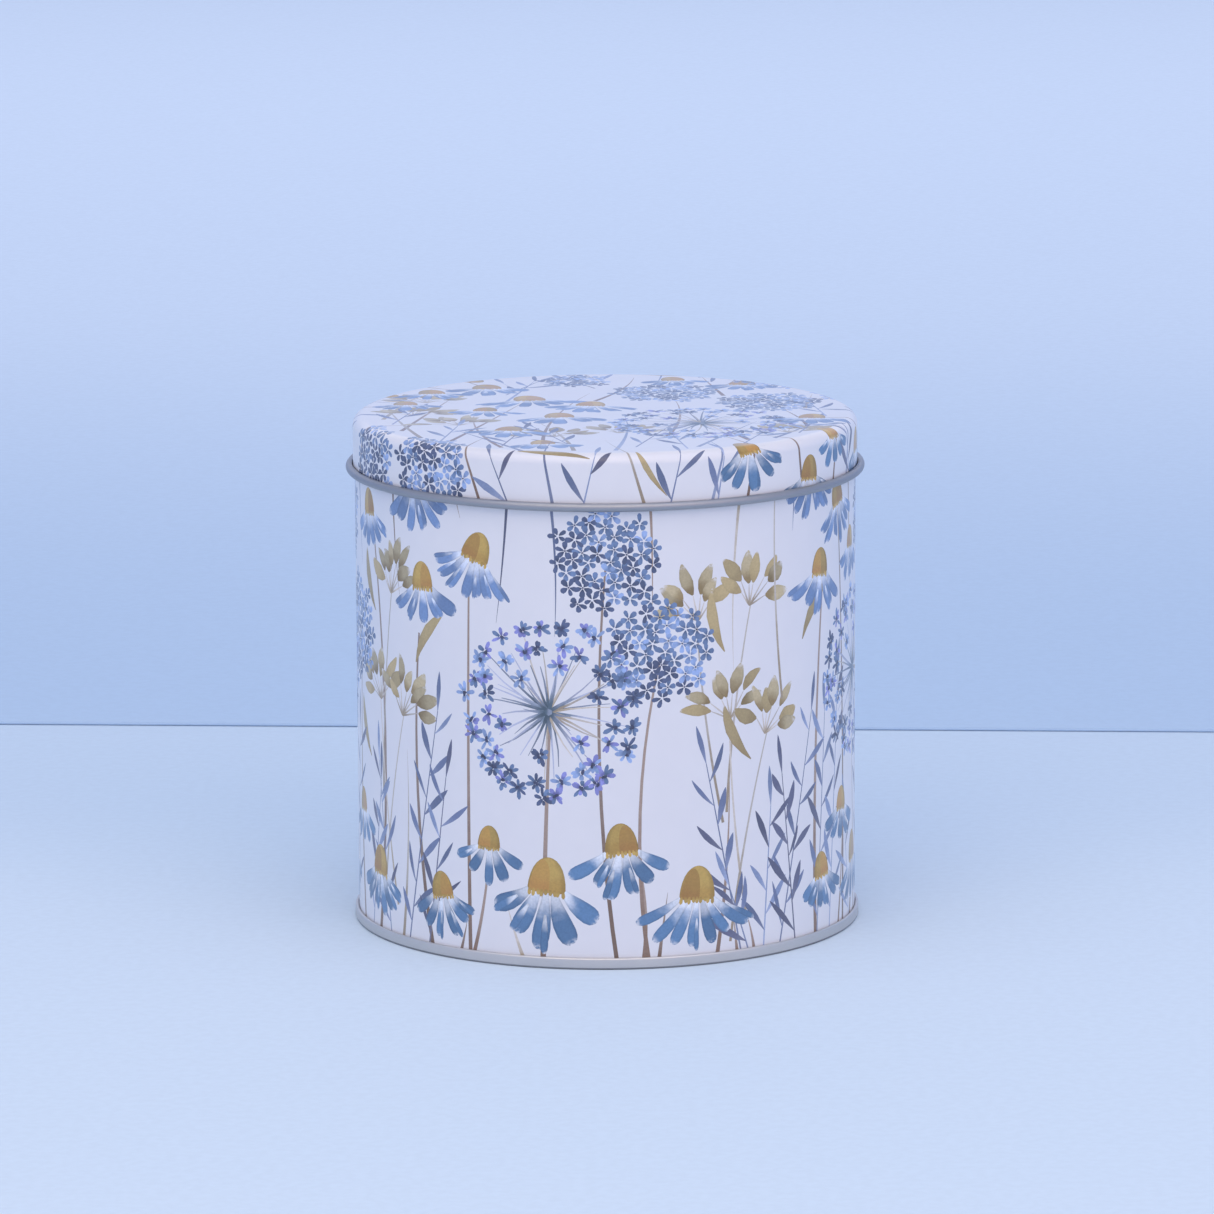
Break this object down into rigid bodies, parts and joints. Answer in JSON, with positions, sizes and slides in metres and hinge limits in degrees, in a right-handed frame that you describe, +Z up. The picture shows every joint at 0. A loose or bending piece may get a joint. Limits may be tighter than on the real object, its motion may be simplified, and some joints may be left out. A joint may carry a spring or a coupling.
{
  "type": "round slip-lid tin",
  "caption": "Short round tinplate storage tin: straight printed wall, double-seamed bottom end and a shallow slip lid with a rolled bead.",
  "frame": {"origin": "centre of the ring that the tin stands on", "axes": "+Z up along the tin's axis, +Y towards the back, where the body's side seam is"},
  "size_m": [0.1036, 0.1036, 0.102],
  "materials": {
    "printed_tinplate": "white ground with a blue and ochre wildflower print under a satin varnish",
    "bare_tinplate": "bright tinplate, softly rubbed"
  },
  "bodies": {
    "tin_body": {"body_wall": "printed_tinplate", "bottom_end": "bare_tinplate"},
    "lid": {"lid": "printed_tinplate"}
  },
  "joints": [
    {"name": "lid_lift", "type": "slide", "parent": "tin_body", "child": "lid", "axis": [0, 0, 1], "range_m": [0, 0.06]}
  ]
}
